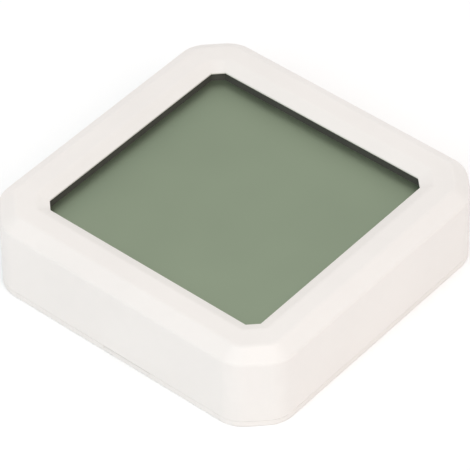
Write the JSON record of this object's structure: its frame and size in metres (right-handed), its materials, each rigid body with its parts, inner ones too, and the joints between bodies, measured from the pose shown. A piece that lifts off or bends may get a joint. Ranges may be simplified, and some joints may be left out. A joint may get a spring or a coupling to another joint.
{
  "type": "temperature humidity sensor",
  "caption": "Square off-white room sensor with cut corners, bevelled window over a blank reflective display, pull-off back cover, coin cell and pairing button.",
  "frame": {"origin": "middle of the back face", "axes": "+Z out of the display, -Y towards the side with the air slit, +X to the right when the slit is at the bottom"},
  "size_m": [0.0596, 0.0596, 0.0154],
  "materials": {
    "casing": "satin off-white moulded plastic",
    "foam": "matte black foam",
    "display_face": "grey-green polarizer film",
    "display_glass": "clear plate glass",
    "reflector": "silvered film",
    "dark_plastic": "dark moulded plastic",
    "silicone": "layered silicone",
    "board": "green solder mask",
    "chip": "black moulding compound",
    "metal": "plated lid",
    "capacitor": "tan ceramic",
    "antenna": "pale ceramic",
    "plunger": "moulded plastic",
    "button": "satin off-white moulded plastic",
    "tray": "natural moulded plastic",
    "contact": "nickel plated spring steel",
    "cell_metal": "bright rolled steel",
    "screw": "zinc plated"
  },
  "bodies": {
    "casing": {"front_shell": "casing", "lcd_gasket": "foam", "front_polarizer": "display_face", "front_glass": "display_glass", "rear_glass": "display_glass", "rear_reflector": "reflector", "lcd_frame": "dark_plastic", "zebra_strip_near": "silicone", "zebra_strip_far": "silicone", "main_board": "board", "radio_chip": "chip", "display_driver": "chip", "crystal": "metal", "capacitors": "capacitor", "resistors": "chip", "humidity_sensor": "chip", "chip_antenna": "antenna", "switch_body": "dark_plastic", "battery_tray": "tray", "negative_contact": "contact", "positive_contact": "contact", "cell_can": "cell_metal", "cell_gasket": "dark_plastic", "cell_cap": "cell_metal", "tray_screw_1": "screw", "tray_screw_2": "screw", "tray_screw_3": "screw", "tray_screw_4": "screw"},
    "cover": {"back_cover": "casing"},
    "button": {"button_cap": "button", "switch_plunger": "plunger"}
  },
  "joints": [
    {"name": "casing_lift", "type": "slide", "parent": "cover", "child": "casing", "axis": [0, 0, 1], "range_m": [0, 0.03]},
    {"name": "button_press", "type": "slide", "parent": "casing", "child": "button", "axis": [0, 0, 1], "range_m": [0, 0.00035], "stiffness_N_per_m": 600}
  ]
}
